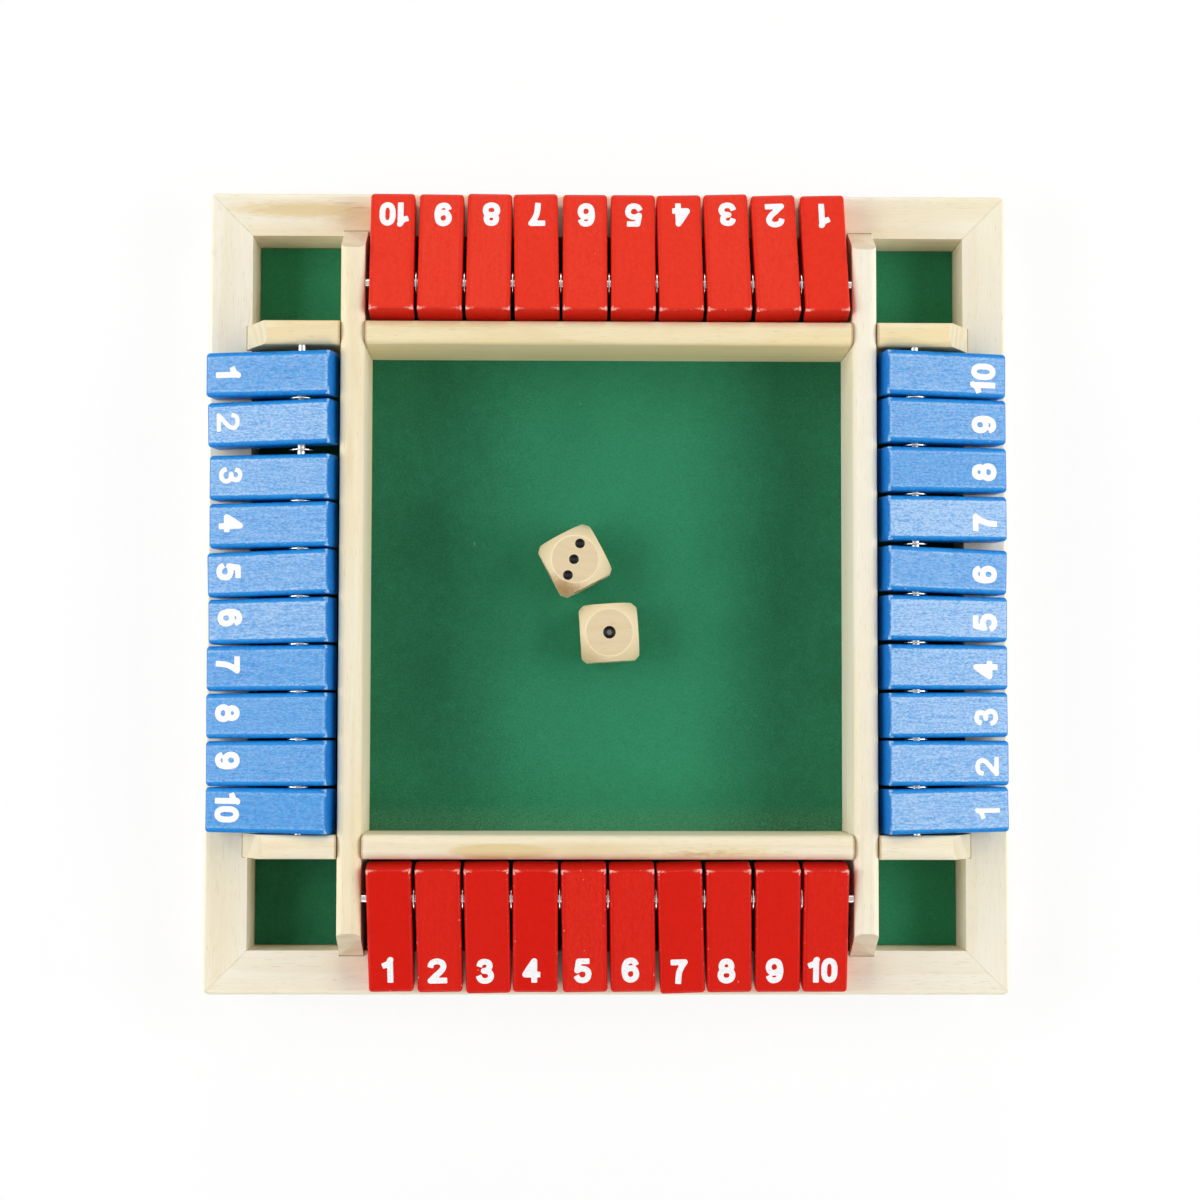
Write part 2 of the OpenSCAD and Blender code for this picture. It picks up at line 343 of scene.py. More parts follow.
def cut(piece, tool, how="DIFFERENCE"):
    knife = piece.modifiers.new("cut", "BOOLEAN")
    knife.operation, knife.solver, knife.object = how, "EXACT", tool
    shape = piece.evaluated_get(bpy.context.evaluated_depsgraph_get())
    mesh = bpy.data.meshes.new_from_object(shape)
    piece.modifiers.clear()
    piece.data = mesh
    bpy.data.objects.remove(tool)


def smoothFaces(mesh, angle):
    mesh.shade_smooth()
    mesh.set_sharp_from_angle(angle=math.radians(angle))


weldReach = 0.002  # mm


def easeEdges(node, shape):  # takes the sharpness off a CAD node's edges
    weld = node.modifiers.new("weld", "WELD")
    weld.merge_threshold = weldReach * mm
    bevel = node.modifiers.new("eased", "BEVEL")
    bevel.width, bevel.segments = shape["width"] * mm, 2
    bevel.limit_method, bevel.angle_limit = "ANGLE", math.radians(shape["angle"])
    bevel.harden_normals = True


def dress(node, material):
    node.data.materials.clear()
    node.data.materials.append(material)


def facing(mesh, axis, least=0.95):  # the normal of the largest flat face that looks along axis
    return max((f for f in mesh.polygons if f.normal.dot(axis) > least), key=lambda f: f.area).normal.copy()


# ---- pine, for the rails and dividers

pineTones = {
    "pale": tone(244, 237, 218),
    "yellow": tone(239, 220, 172),
    "late": tone(226, 203, 152),
    "fibre": tone(214, 196, 158),
    "endGrain": tone(222, 210, 180),
    "endRing": tone(196, 178, 142),
    "brown": tone(176, 134, 82),
    "endShade": tone(172, 160, 122),
}
# where the painted shade at the joints lies, in mm, and how strongly each effect shows
pineShade = {"lapAt": 69.4, "lapEdge": (4.1, 3.5), "lapRise": (24, 30), "stainAndShade": 0.7, "fibre": 0.16,
             "pores": 0.22, "endRings": 0.45, "ends": 0.85}
pineEase = {"width": 0.1, "angle": 32}  # mm, degrees
# Each bar: its grain's direction, seed, pith (across, up), ring width, wander, how strong the late wood is,
# how yellow, how warm all over, and its own marks in the frame's mm
pineBars = {
    "rail_back": {"along": "x", "seed": 1.3, "pith": (70, -34), "ring": 5.2, "wander": 9, "late": 0.30,
                  "yellow": 0.35,
                  "marks": [((-84, 105.3, 20), (28, 3.2, 9), "late", 0.9, 0.5, 0.7),
                            ((-60, 103, 20), (24, 4.4, 9), "late", 0.7, 0.5, 0.6),
                            ((-72, 107.2, 20.5), (4.5, 0.4, 3), "brown", 0.35, 0.6, 0.9),
                            ((-69, 105.9, 20.5), (3.0, 0.35, 3), "brown", 0.4, 0.6, 0.9)]},
    "rail_left": {"along": "y", "seed": 2.1, "pith": (-20, -75), "ring": 6.5, "wander": 5, "late": 0.20,
                  "yellow": 0.22},
    "rail_front": {"along": "x", "seed": 3.7, "pith": (-60, -50), "ring": 3.6, "wander": 5, "late": 0.24,
                   "yellow": 0.1},
    "rail_right": {"along": "y", "seed": 4.9, "pith": (40, -70), "ring": 5.5, "wander": 4, "late": 0.16,
                   "yellow": 0.16},
    "divider_back": {"along": "x", "seed": 5.6, "pith": (60, 8), "ring": 3.4, "wander": 9, "late": 0.5,
                     "yellow": 0.5, "warm": 0.75,
                     "marks": [((-86, 70, 31), (7, 4, 4), "late", 0.6, 0.3, 1.2),
                               ((-44, 71, 33), (24, 1.6, 3), "late", 0.55, 1.2, 0.9)]},
    "divider_left": {"along": "y", "seed": 6.2, "pith": (-50, -25), "ring": 4.4, "wander": 5, "late": 0.26,
                     "yellow": 0.4, "warm": 0.2,
                     "marks": [((-69.9, 36, 33), (1.5, 11, 3), "late", 0.5, 0.3, 0.9),
                               # painted shade on the sloped front end of the divider
                               ((-69.4, -97, 30), (4.5, 4.6, 9), "endShade", 0.8, 0.2, 0.3)]},
    "divider_front": {"along": "x", "seed": 7.4, "pith": (-45, 0), "ring": 6.0, "wander": 5, "late": 0.24,
                      "yellow": 0.35, "warm": 0.25,
                      "marks": [((-29, -70.4, 33), (16, 2.5, 3), "late", 0.95, 0.1, 0.3),
                                ((-7, -69.8, 33), (30, 2.8, 3), "late", 0.6, 0.2, 0.8),
                                ((32, -70.6, 33), (21, 1.9, 3), "late", 0.8, 1.5, 1.1),
                                ((24, -70.9, 33), (13, 1.0, 3), "brown", 0.35, 2.2, 1.2)]},
    "divider_right": {"along": "y", "seed": 8.8, "pith": (55, -30), "ring": 5.0, "wander": 4, "late": 0.18,
                      "yellow": 0.22},
}


def pineMaterial(name, bar):
    shade = pineShade
    material, tree, shader = newMaterial(name, Specular_IOR_Level=0.35)
    coords = put(tree, "TexCoord").outputs
    place = scaled(tree, coords["Object"], 1 / mm)
    x, y, z = parts(tree, place)
    alongX = bar["along"] == "x"
    grain = use(tree, woodGrain, {
        "Place": place if alongX else joined(tree, y, x, z), "Seed": bar["seed"], "Pith": (0, *bar["pith"]),
        "Ring": bar["ring"], "Wander": bar["wander"]})
    yellowed = sums(tree, "MULTIPLY_ADD", grain["Blotch"], bar["yellow"], bar.get("warm", 0))
    colour = mixed(tree, yellowed, pineTones["pale"], pineTones["yellow"])
    colour = laid(tree, colour, pineTones["late"], grain["Late"], bar["late"])
    if alongX:  # painted shade in the gaps of the halved joints, at their edges
        fromLap = sums(tree, "SUBTRACT", sums(tree, "ABSOLUTE", x), shade["lapAt"])
        stainAndShade = times(tree, rise(tree, sums(tree, "ABSOLUTE", fromLap), *shade["lapEdge"]),
                      rise(tree, z, *shade["lapRise"]))
        colour = laid(tree, colour, pineTones["brown"], stainAndShade, shade["stainAndShade"])
    colour = marked(tree, colour, place, bar.get("marks", ()), pineTones)
    colour = laid(tree, colour, pineTones["fibre"], rise(tree, grain["Fibre"], 0.42, 0.75), shade["fibre"])
    colour = laid(tree, colour, pineTones["brown"], grain["Pores"], shade["pores"])
    # sawn ends show the rings from the end and drink more lacquer
    lengthways = parts(tree, coords["Normal"])[0 if alongX else 1]
    end = rise(tree, sums(tree, "ABSOLUTE", lengthways), 0.32, 0.42)
    ends = laid(tree, pineTones["endGrain"], pineTones["endRing"], grain["Late"], shade["endRings"])
    colour = laid(tree, colour, ends, end, shade["ends"])
    coat(tree, shader, colour, spread(tree, grain["Fibre"], 0.42, 0.62))
    relief = sums(tree, "ADD", grain["Fibre"], times(tree, grain["Late"], 0.5))
    bump(tree, shader, sums(tree, "SUBTRACT", relief, times(tree, grain["Pores"], 0.8)), 0.35, 0.06)
    return material


def finishPine():
    for name, bar in pineBars.items():
        dress(nodes[name], pineMaterial("pine." + name, bar))
        easeEdges(nodes[name], pineEase)
    print("pine done")


# ---- base panel and steel

plyTones = {"face": tone(214, 182, 132), "late": tone(186, 148, 98), "pore": tone(132, 98, 62)}
steelTones = {"light": tone(222, 222, 220), "dark": tone(150, 150, 148)}
steelEase = {"width": 0.08, "angle": 40}  # mm, degrees


def plyMaterial():
    material, tree, shader = newMaterial("plywood", Specular_IOR_Level=0.25)
    grain = use(tree, woodGrain, {
        "Place": placeInMm(tree), "Seed": 12.5, "Pith": (0, 30, -14), "Ring": 4.2, "Wander": 26})
    colour = laid(tree, plyTones["face"], plyTones["late"], grain["Late"], 0.6)
    colour = laid(tree, colour, plyTones["late"], rise(tree, grain["Fibre"], 0.4, 0.75), 0.35)
    colour = laid(tree, colour, plyTones["pore"], grain["Pores"], 0.5)
    coat(tree, shader, colour, spread(tree, grain["Fibre"], 0.6, 0.85))
    bump(tree, shader, sums(tree, "SUBTRACT", grain["Fibre"], grain["Pores"]), 0.5, 0.08)
    return material


def steelMaterial(name, stretch):  # stretch is how often the drawing lines repeat along each axis
    material, tree, shader = newMaterial(name, Metallic=1.0)
    lines = cloud(tree, stretched(tree, placeInMm(tree), stretch), 1.0, 3.0, 0.6)
    colour = mixed(tree, lines, steelTones["dark"], steelTones["light"])
    coat(tree, shader, colour, spread(tree, lines, 0.16, 0.34))
    bump(tree, shader, lines, 0.25, 0.01)
    return material


def finishMetalAndBase():
    alongX = steelMaterial("drawnSteelX", (0.15, 6, 6))
    alongY = steelMaterial("drawnSteelY", (6, 0.15, 6))
    pressed = steelMaterial("pressedSteel", (4, 4, 4))
    finishes = {"rod_back": alongX, "rod_front": alongX, "rod_left": alongY, "rod_right": alongY,
                "washers": pressed, "panel_brads": pressed, "base_panel": plyMaterial()}
    for name, material in finishes.items():
        dress(nodes[name], material)
    for name in ("washers", "panel_brads"):
        easeEdges(nodes[name], steelEase)
    print("metal and base done")


# ---- tiles

tileShape = {"sideEase": 1.0, "innerEase": 0.45, "outerEase": 1.05, "step": 1.5, "holeSides": 40,
             "holeRadius": 1.5, "warp": 0.03, "still": 0.5, "rake": 0.6, "rakeRun": 3.0}  # mm
creases = {"tile": 38, "ink": 50, "die": 24, "felt": 50}  # degrees, sharp above
# border is how far the full colour reaches in from the long sides, in mm, and ends softly
redPaint = {"slot": "red_paint", "border": (0.85, 1.25), "chip": tone(250, 196, 184), "rubbedRimAndSheen": False,
            "deepens": 0.3, "gleam": 0.15, "lines": 0.45, "relief": 0.3}
bluePaint = {"slot": "blue_paint", "border": (1.05, 1.35), "chip": tone(176, 212, 246), "rubbedRimAndSheen": True,
             "deepens": 0.5, "gleam": 0.2, "lines": 1.0, "relief": 0.5, "paint": tone(24, 144, 218),
             "rubbedAndSheen": tone(170, 203, 239), "deep": tone(14, 92, 186), "sawn": 1, "sideWear": 0.2}
# inset and shift place the number in mm, digits scales it, and the last list is how worn each tile is and
# how strong its painted reflection is
rowLooks = {
    # the back row's red is laid lighter than the front row's, though both are one paint: painted light from
    # behind
    "red_tile_back": {**redPaint, "paint": tone(228, 48, 27), "rubbedAndSheen": tone(236, 74, 54),
                      "deep": tone(200, 22, 12), "sawn": 1, "sideWear": 0.3,
                      "inset": 2.8, "shift": 0.4, "digits": 0.955,
                      "rubsAndSheen": (0.1, 0.3, 0.3, 0.2, 0.2, 0.3, 0.2, 0.4, 0.4, 0.3)},
    "blue_tile_left": {**bluePaint, "inset": 2.9, "shift": 0.75, "digits": 0.96,
                       "rubsAndSheen": (0.4, 0.75, 0.6, 0.5, 0.55, 0.65, 0.35, 0.35, 0.35, 0.25)},
    "red_tile_front": {**redPaint, "paint": tone(214, 24, 8), "rubbedAndSheen": tone(226, 50, 34),
                       "deep": tone(190, 14, 8), "sawn": 0.1, "sideWear": 0.5,
                       "inset": 2.85, "shift": 0.7, "digits": 0.955,
                       "rubsAndSheen": (0, 0.3, 0.1, 0, 0.5, 0.4, 0.1, 0.2, 0.1, 0.3)},
    "blue_tile_right": {**bluePaint, "inset": 3.1, "shift": 0.85, "digits": 0.98,
                        "rubsAndSheen": (0.7, 0.7, 0.75, 0.75, 0.9, 0.45, 0.9, 0.35, 0.45, 0.5)},
}
# where wear and painted reflection start and are full, in mm from the faces, the long sides and the inner
# end
wearAndSheenBands = {"faces": (0.3, 0.08), "top": (1.6, 0.7), "sides": (2.4, 0.4), "sideRim": (2.1, 1.4),
             "innerBorder": (0.8, 1.3), "innerRim": (2.1, 1.3), "innerEnd": (2.2, 1.2)}
# pale arcs in the corners of the inner end's top edge: mm from the end and from the side
cornerArc = {"starts": (0, 0.15), "stops": (0.6, 0.35), "reach": (2.8, 1.0), "strength": 0.75}
tileLint = {"Cell": 2.6, "Share": 0.1, "Grain": 0.075}
lintTone = tone(250, 214, 206)


def paintMaterial(name, look, size):
    bands = wearAndSheenBands
    material, tree, shader = newMaterial(name, Specular_IOR_Level=look["gleam"])
    place = placeInMm(tree)
    x, y, z = parts(tree, place)
    across, away = sums(tree, "ABSOLUTE", x), sums(tree, "ABSOLUTE", z)
    seed, edge, own = (put(tree, "Attribute", attribute_name=label).outputs["Fac"]
                       for label in ("tileSeed", "edge", "tileRubAndSheen"))

    def near(value, limit, band):  # 1 where value comes close to the limit
        return rise(tree, value, limit - band[0], limit - band[1])

    skin = use(tree, paintSkin, {"Place": place, "Seed": seed})
    # the broad faces are painted lighter, partly rubbed paint and partly a painted reflection of the side
    # lamps, up to about a millimetre from the rounded edges
    uneven = spread(tree, skin["Mottle"], -0.35, 0.35)
    toSide = sums(tree, "SUBTRACT", size["half"], across)
    fromSide = sums(tree, "ADD", toSide, uneven)
    fromInner = sums(tree, "ADD", sums(tree, "SUBTRACT", y, size["inner"]), uneven)
    inside = rise(tree, fromInner, *bands["innerBorder"])
    inside = times(tree, rise(tree, fromSide, *look["border"]), inside)
    broad = times(tree, near(away, size["thick"], bands["faces"]), inside)
    chalk = rise(tree, skin["Skin"], 0.4, 0.62)
    grainy = sums(tree, "ADD", spread(tree, skin["Streak"], 0.6, 1.2), spread(tree, chalk, -0.3, 0.4))
    rubAndSheen = times(tree, times(tree, broad, own), grainy)
    # blue tiles get more rubbed paint and painted reflection along the inner end and the long sides
    if look["rubbedRimAndSheen"]:  # along the inner end and the long sides
        along = times(tree, rise(tree, fromSide, *bands["sideRim"]), 0.7)
        rim = times(tree, broad, sums(tree, "MAXIMUM", rise(tree, fromInner, *bands["innerRim"]), along))
        rubAndSheen = sums(tree, "ADD", rubAndSheen, times(tree, rim, spread(tree, chalk, 0.1, 0.35)))
    # darker paint at random, and painted shade on the rounded edges
    toDeep = sums(tree, "ADD", rise(tree, skin["Mottle"], 0.35, 0.75), times(tree, edge, 0.6))
    colour = laid(tree, look["paint"], look["deep"], toDeep, look["deepens"])
    colour = mixed(tree, rubAndSheen, colour, look["rubbedAndSheen"])
    # painted shade: the inner end faces are laid darker, as they face the dividers and lie in their shade
    lengthways = parts(tree, put(tree, "TexCoord").outputs["Normal"])[1]
    sawn = times(tree, rise(tree, lengthways, -0.6, -0.9), spread(tree, chalk, 0.35, 0.7))
    colour = laid(tree, colour, look["deep"], sawn, look["sawn"])
    # paint is thin at the sawn inner end and chips at its corners
    atTop = near(z, size["thick"], bands["top"])
    atSide = near(across, size["half"], bands["sides"])
    amount = sums(tree, "ADD", times(tree, rise(tree, fromInner, *bands["innerEnd"]), atTop),
                  times(tree, atSide, look["sideWear"]))
    amount = times(tree, amount, spread(tree, atSide, 0.4, 0.8))
    chips = use(tree, edgeWear, {"Edge": edge, "Place": place, "Seed": seed, "Amount": amount})["Mask"]
    topEnd = sums(tree, "SUBTRACT", fromInner, tileShape["rake"])
    arc = times(tree, rise(tree, topEnd, *cornerArc["starts"]), rise(tree, topEnd, *cornerArc["stops"]))
    arc = times(tree, arc, rise(tree, toSide, *cornerArc["reach"]))
    arc = times(tree, arc, times(tree, atTop, rise(tree, skin["Skin"], 0.35, 0.55)))
    chips = sums(tree, "MAXIMUM", chips, times(tree, arc, cornerArc["strength"]))
    colour = laid(tree, colour, look["chip"], chips, 0.8)
    lint = use(tree, dust, {"Place": place, "Seed": seed, **tileLint})["Mask"]
    colour = laid(tree, colour, lintTone, lint, 0.55)
    gloss = sums(tree, "ADD", spread(tree, skin["Skin"], 0.26, 0.42), times(tree, broad, 0.06))
    coat(tree, shader, colour, gloss)
    relief = sums(tree, "ADD", times(tree, skin["Streak"], look["lines"]), skin["Skin"])
    bump(tree, shader, sums(tree, "SUBTRACT", relief, chips), look["relief"], 0.035)
    return material


inkTones = {"white": tone(252, 249, 250), "thin": tone(232, 228, 234)}


def inkMaterial():
    material, tree, shader = newMaterial("whiteInk", Specular_IOR_Level=0.4)
    cover = cloud(tree, placeInMm(tree), 1.6, 3.0, 0.6)
    colour = mixed(tree, rise(tree, cover, 0.45, 0.8), inkTones["white"], inkTones["thin"])
    coat(tree, shader, colour, spread(tree, cover, 0.35, 0.55))
    return material


def faceDrift(x, y, seed):  # how far a broad face lies under its full height, as hand-sanded faces do
    return tileShape["warp"] * (noise.noise(Vector((x * 0.16, y * 0.09, seed * 3.7))) - 1)


def measureTile(node, joint):  # the tile's own frame and size, from its flat faces
    mesh = node.data
    along = Vector(joint["axis"])
    side, top = facing(mesh, along), facing(mesh, Vector((0, 0, 1)))
    outward = top.cross(side).normalized()
    points = np.array([v.co for v in mesh.vertices])
    across = (points - np.array(joint["pos_m"])) @ np.array(side)
    pivot = Vector(joint["pos_m"]) + along * (across.min() + across.max()) / 2 / side.dot(along)
    placed = Matrix((side, outward, top)).transposed().to_4x4()
    placed.translation = pivot
    out, up = ((points - np.array(pivot)) @ np.array(axis) for axis in (outward, top))
    size = {"half": (across.max() - across.min()) / 2 / mm, "thick": (up.max() - up.min()) / 2 / mm,
            "inner": out.min() / mm, "outer": out.max() / mm}
    return placed, size


def tileBlank(size):  # one tile with its rod hole, in mm about the rod
    s = tileShape
    low = (-size["half"], size["inner"], -size["thick"])
    high = (size["half"], size["outer"], size["thick"])
    easeLow = (s["sideEase"], s["innerEase"], s["sideEase"])
    easeHigh = (s["sideEase"], s["outerEase"], s["sideEase"])
    bm = gridBox(*(easedLines(low[n], high[n], easeLow[n], easeHigh[n], s["step"]) for n in range(3)))
    roundOff(bm, low, high, easeLow, easeHigh)
    for vert in bm.verts:  # the inner end leans out towards its lower edge
        nearEnd = max(0, 1 - (vert.co.y - low[1]) / s["rakeRun"])
        vert.co.y += s["rake"] * nearEnd * (vert.co.z + size["thick"]) / (2 * size["thick"])
    blank = newPiece("tileBlank", bm)
    drill = bmesh.new()
    turned = Matrix.Rotation(math.pi / 2, 4, "Y")
    bmesh.ops.create_cone(drill, cap_ends=True, segments=s["holeSides"], radius1=s["holeRadius"],
                          radius2=s["holeRadius"], depth=size["half"] * 3, matrix=turned)
    cut(blank, newPiece("drill", drill))
    mesh = blank.data
    bpy.data.objects.remove(blank)
    return mesh


def tileMesh(blank, name, size, seed, rubAndSheen):
    mesh = blank.copy()
    mesh.name = name
    hole = 2 * tileShape["holeRadius"]
    longest = max(v.co.y for v in mesh.vertices)
    for vert in mesh.vertices:
        x, y, z = vert.co
        if y > hole:  # each tile has its own length past the hole
            vert.co.y += (size["outer"] - longest) * (y - hole) / (longest - hole)
        if abs(z) > tileShape["still"]:  # the middle plane stays flat
            vert.co.z += faceDrift(x, y, seed) * math.copysign(1, z)
    mesh.transform(Matrix.Scale(mm, 4))
    for label, value in (("tileSeed", seed), ("tileRubAndSheen", rubAndSheen)):
        mesh.attributes.new(label, "FLOAT", "POINT").data.foreach_set("value", [value] * len(mesh.vertices))
    smoothFaces(mesh, creases["tile"])
    return mesh


# ---- numbers: strokes in mm from the baseline, smooth curves with the loose ends cut off square

inkShape = {"nib": 1.65, "cell": 0.15, "rise": 0.04, "sink": 0.06, "narrow": 0.95, "astray": (0.35, 0.21)}
# these were printed lighter
thinInk = {"blue_tile_left_2": 1.2, "blue_tile_left_3": 1.3, "blue_tile_right_1": 1.25,
           "blue_tile_right_2": 1.3, "blue_tile_right_3": 1.35}
digitStrokes = {
    "0": [("", [(0, 5.6), (-1.05, 5.1), (-1.5, 3.9), (-1.52, 2.8), (-1.5, 1.7), (-1.05, 0.5), (0, 0),
                (1.05, 0.5), (1.5, 1.7), (1.52, 2.8), (1.5, 3.9), (1.05, 5.1), (0, 5.6)])],
    "1": [("start", [(0.72, -0.75), (0.72, 2.8), (0.72, 5.75)]),
          ("end", [(0.9, 5.9), (0.1, 4.75), (-1.6, 4.05)])],
    "2": [("start", [(-2.0, 3.8), (-1.5, 5.1), (0.05, 5.6), (1.5, 5.1), (1.85, 3.95), (1.1, 2.7),
                     (-0.5, 1.35), (-2.0, -0.05)]),
          ("end", [(-2.0, 0), (0, 0), (2.9, 0)]),
          ("", [(-1.6, 0.25), (-1.05, 0.6), (-0.6, 0.5)])],
    "3": [("start", [(-1.7, 4.15), (-1.15, 5.3), (0.05, 5.6), (1.2, 5.15), (1.38, 4.15), (0.75, 3.2),
                     (-0.35, 2.95)]),
          ("end", [(-0.35, 2.95), (1.05, 2.7), (1.78, 1.65), (1.3, 0.45), (0, 0), (-1.3, 0.4),
                   (-1.9, 1.6)])],
    "4": [("", [(0.75, 5.5), (-0.6, 3.6), (-1.9, 1.6)]),
          ("end", [(-1.9, 1.55), (0, 1.55), (2.55, 1.55)]),
          ("end", [(0.75, 5.5), (0.75, 2.8), (0.75, -0.8)])],
    "5": [("start", [(2.1, 5.55), (0.4, 5.55), (-1.05, 5.55)]),
          ("", [(-1.05, 5.55), (-1.3, 4.3), (-1.55, 2.95)]),
          ("end", [(-1.55, 2.9), (-0.6, 3.35), (0.5, 3.35), (1.5, 2.75), (1.75, 1.7), (1.25, 0.45), (0, 0),
                   (-1.2, 0.35), (-1.9, 1.4)])],
    "6": [("start", [(1.75, 4.2), (1.05, 5.35), (0, 5.6), (-1.15, 5.1), (-1.68, 3.8), (-1.74, 2.2),
                     (-1.25, 0.55), (0, 0), (1.25, 0.5), (1.7, 1.75), (1.25, 3.0), (0.1, 3.4),
                     (-1.1, 2.95), (-1.6, 2.2)])],
    "7": [("start", [(-2.5, 5.5), (0, 5.5), (1.65, 5.5)]),
          ("end", [(1.7, 5.5), (0.65, 4.0), (-0.1, 2.2), (-0.45, -0.8)])],
    "8": [("", [(0, 3.0), (-1.2, 3.45), (-1.45, 4.3), (-1.0, 5.3), (0, 5.6), (1.0, 5.3), (1.45, 4.3),
                (1.2, 3.45), (0, 3.0)]),
          ("", [(0, 3.0), (-1.4, 2.6), (-1.75, 1.5), (-1.25, 0.4), (0, 0), (1.25, 0.4), (1.75, 1.5),
                (1.4, 2.6), (0, 3.0)])],
    "9": [("start", [(-1.75, 1.4), (-1.05, 0.25), (0, 0), (1.15, 0.5), (1.68, 1.8), (1.74, 3.4),
                     (1.25, 5.05), (0, 5.6), (-1.25, 5.1), (-1.7, 3.85), (-1.25, 2.6), (-0.1, 2.2),
                     (1.1, 2.65), (1.6, 3.4)])],
}
digitPlaces = {"10": ((-2.7, "1"), (1.95, "0"))}  # a pair stands closer together


def smoothStroke(points, per=8):  # a curve through the points, as short straight runs
    ends = [points[0]] + list(points) + [points[-1]]
    if points[0] == points[-1]:
        ends[0], ends[-1] = points[-2], points[1]
    ends = np.array(ends)
    run = []
    for a, b, c, d in zip(ends, ends[1:], ends[2:], ends[3:]):
        for t in np.arange(per) / per:
            run.append(0.5 * (2 * b + (c - a) * t + (2 * a - 5 * b + 4 * c - d) * t ** 2
                              + (3 * b - a - 3 * c + d) * t ** 3))
    return np.array(run + [ends[-2]])


def strokeDistance(spots, run, loose, nib):
    if loose == "end":
        run = run[::-1]
    nearest = np.full(spots.shape[:-1], np.inf)
    inward = (run[1] - run[0]) / np.linalg.norm(run[1] - run[0])
    beyond = (spots - run[0]) @ inward
    gone = 0
    for a, b in zip(run, run[1:]):
        span = b - a
        share = np.clip(((spots - a) @ span) / max(span @ span, 1e-9), 0, 1)
        away = np.linalg.norm(spots - a - share[..., None] * span, axis=-1)
        if loose and gone < nib * 0.75:  # the end is cut off square
            away = np.maximum(away, nib / 2 - beyond)
        nearest = np.minimum(nearest, away)
        gone += np.linalg.norm(span)
    return nearest


def inkMesh(text, nib):  # the inked area as a thin raised plate, upright, in mm, its foot at y 0
    cell = inkShape["cell"]
    strokes = []
    for across, digit in digitPlaces.get(text, ((0.0, text),)):
        for loose, points in digitStrokes[digit]:
            run = smoothStroke(points) * (inkShape["narrow"], 1) + (across * inkShape["narrow"], nib / 2)
            strokes.append((run, loose))
    ends = np.concatenate([run for run, loose in strokes])
    low, high = ends.min(0) - nib, ends.max(0) + nib
    xs, ys = (np.arange(low[n], high[n], cell) for n in range(2))
    spots = np.stack(np.meshgrid(xs, ys, indexing="ij"), -1)
    depth = nib / 2 - np.min([strokeDistance(spots, run, loose, nib) for run, loose in strokes], axis=0)
    depth = np.clip(depth, -2 * cell, 2 * cell)
    for axis in (0, 1):  # wet ink rounds its corners a little
        depth = (np.roll(depth, 1, axis) + 2 * depth + np.roll(depth, -1, axis)) / 4
    bm = bmesh.new()
    made = {}

    def point(a, b):  # a grid corner if both are one, else where the ink ends between them
        key = (min(a, b), max(a, b))
        if key not in made:
            share = 0 if a == b else depth[a] / (depth[a] - depth[b])
            x, y = spots[a] + (spots[b] - spots[a]) * share
            made[key] = bm.verts.new((x, y, 0))
        return made[key]

    for i in range(len(xs) - 1):
        for j in range(len(ys) - 1):
            ring = [(i, j), (i + 1, j), (i + 1, j + 1), (i, j + 1)]
            outline = []
            for a, b in zip(ring, ring[1:] + ring[:1]):
                if depth[a] > 0:
                    outline.append(point(a, a))
                if (depth[a] > 0) != (depth[b] > 0):
                    outline.append(point(a, b))
            if len(outline) > 2:
                bm.faces.new(outline)
    bmesh.ops.remove_doubles(bm, verts=bm.verts, dist=cell * 0.04)
    skirt = bmesh.ops.extrude_edge_only(bm, edges=[e for e in bm.edges if e.is_boundary])["geom"]
    for vert in skirt:
        if isinstance(vert, bmesh.types.BMVert):
            vert.co.z = -inkShape["rise"] - inkShape["sink"]
    return meshOf("ink" + text, bm)


def numberPiece(name, plate, placed, size, look, seed, ink):
    across, along = inkShape["astray"]
    astray = (across * noise.noise(Vector((seed, 1.5, 0))), along * noise.noise(Vector((seed, 7.5, 0))))
    bm = bmesh.new()
    bm.from_mesh(plate)
    for vert in bm.verts:
        x = look["shift"] + astray[0] - vert.co.x * look["digits"]
        y = size["outer"] - look["inset"] + astray[1] - vert.co.y * look["digits"]
        vert.co = Vector((x, y, size["thick"] + faceDrift(x, y, seed) + inkShape["rise"] + vert.co.z)) * mm
    bmesh.ops.recalc_face_normals(bm, faces=bm.faces)
    piece = newPiece(name, bm)
    smoothFaces(piece.data, creases["ink"])
    piece.data.materials.append(ink)
    piece.matrix_world = placed
    return piece


def makeTiles():
    ink = inkMaterial()
    blank = None
    plates = {}
    for row, look in rowLooks.items():
        material = None
        for number in range(1, 11):
            name = f"{row}_{number}"
            placed, size = measureTile(nodes[name], hinges[name])
            blank = blank or tileBlank(size)
            material = material or paintMaterial(row.replace("_tile_", "Paint."), look, size)
            seed = number + 10.0 * list(rowLooks).index(row)
            mesh = tileMesh(blank, name, size, seed, look["rubsAndSheen"][number - 1])
            mesh.materials.append(material)
            tile = newObject(name.replace("_tile_", "_flap_"), mesh)
            tile.matrix_world = placed
            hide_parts(name)
            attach(tile, name)
            inked = (str(number), thinInk.get(name, inkShape["nib"]))
            if inked not in plates:
                plates[inked] = inkMesh(*inked)
            label = name.replace("_tile_", "_number_")
            digits = numberPiece(label, plates[inked], placed, size, look, seed, ink)
            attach(digits, name)
    print("tiles done")


# ---- dice

